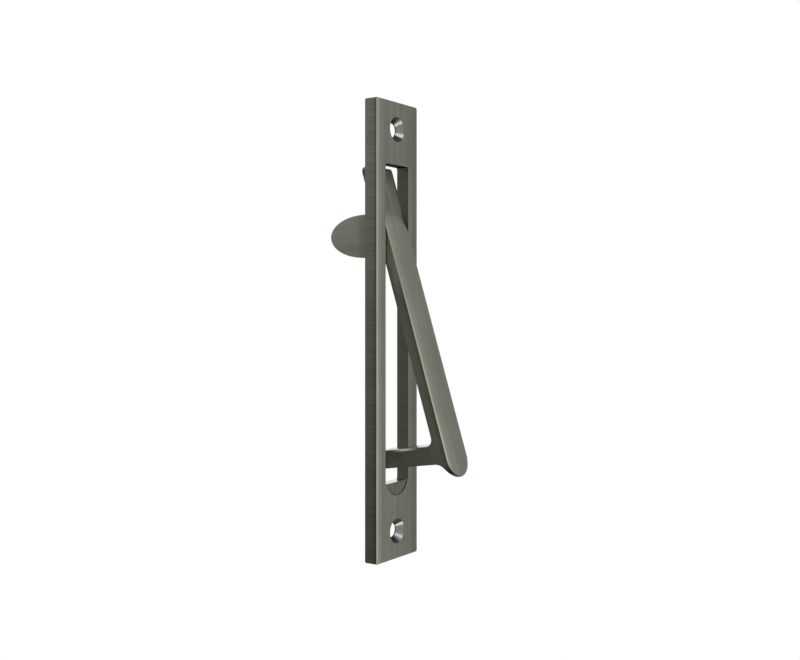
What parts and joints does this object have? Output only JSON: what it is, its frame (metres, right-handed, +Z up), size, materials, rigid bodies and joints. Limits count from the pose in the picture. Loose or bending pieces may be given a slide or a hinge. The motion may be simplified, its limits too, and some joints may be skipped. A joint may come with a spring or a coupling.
{
  "type": "finger pull",
  "caption": "Edge pull for a sliding or pocket door: slotted faceplate with rear lugs, and a pivoting lever whose round-tipped end swings out as a finger pull.",
  "frame": {"origin": "middle of the plate's back face, which seats on the door's edge, halfway between the screw holes", "axes": "+Z up along the plate, +Y into the door, +X across the plate"},
  "size_m": [0.0254, 0.0472, 0.1588],
  "materials": {
    "faceplate": "dark antique nickel, brushed lengthwise on the face",
    "lever": "dark antique nickel, brushed lengthwise",
    "pin": "turned"
  },
  "bodies": {
    "plate": {"faceplate": "faceplate", "pivot_pin": "pin"},
    "lever": {"pull_lever": "lever"}
  },
  "joints": [
    {"name": "lever_hinge", "type": "hinge", "parent": "plate", "child": "lever", "pos_m": [0, 0.00794, 0.0335], "axis": [1, 0, 0], "range_deg": [0, 16.2]}
  ]
}
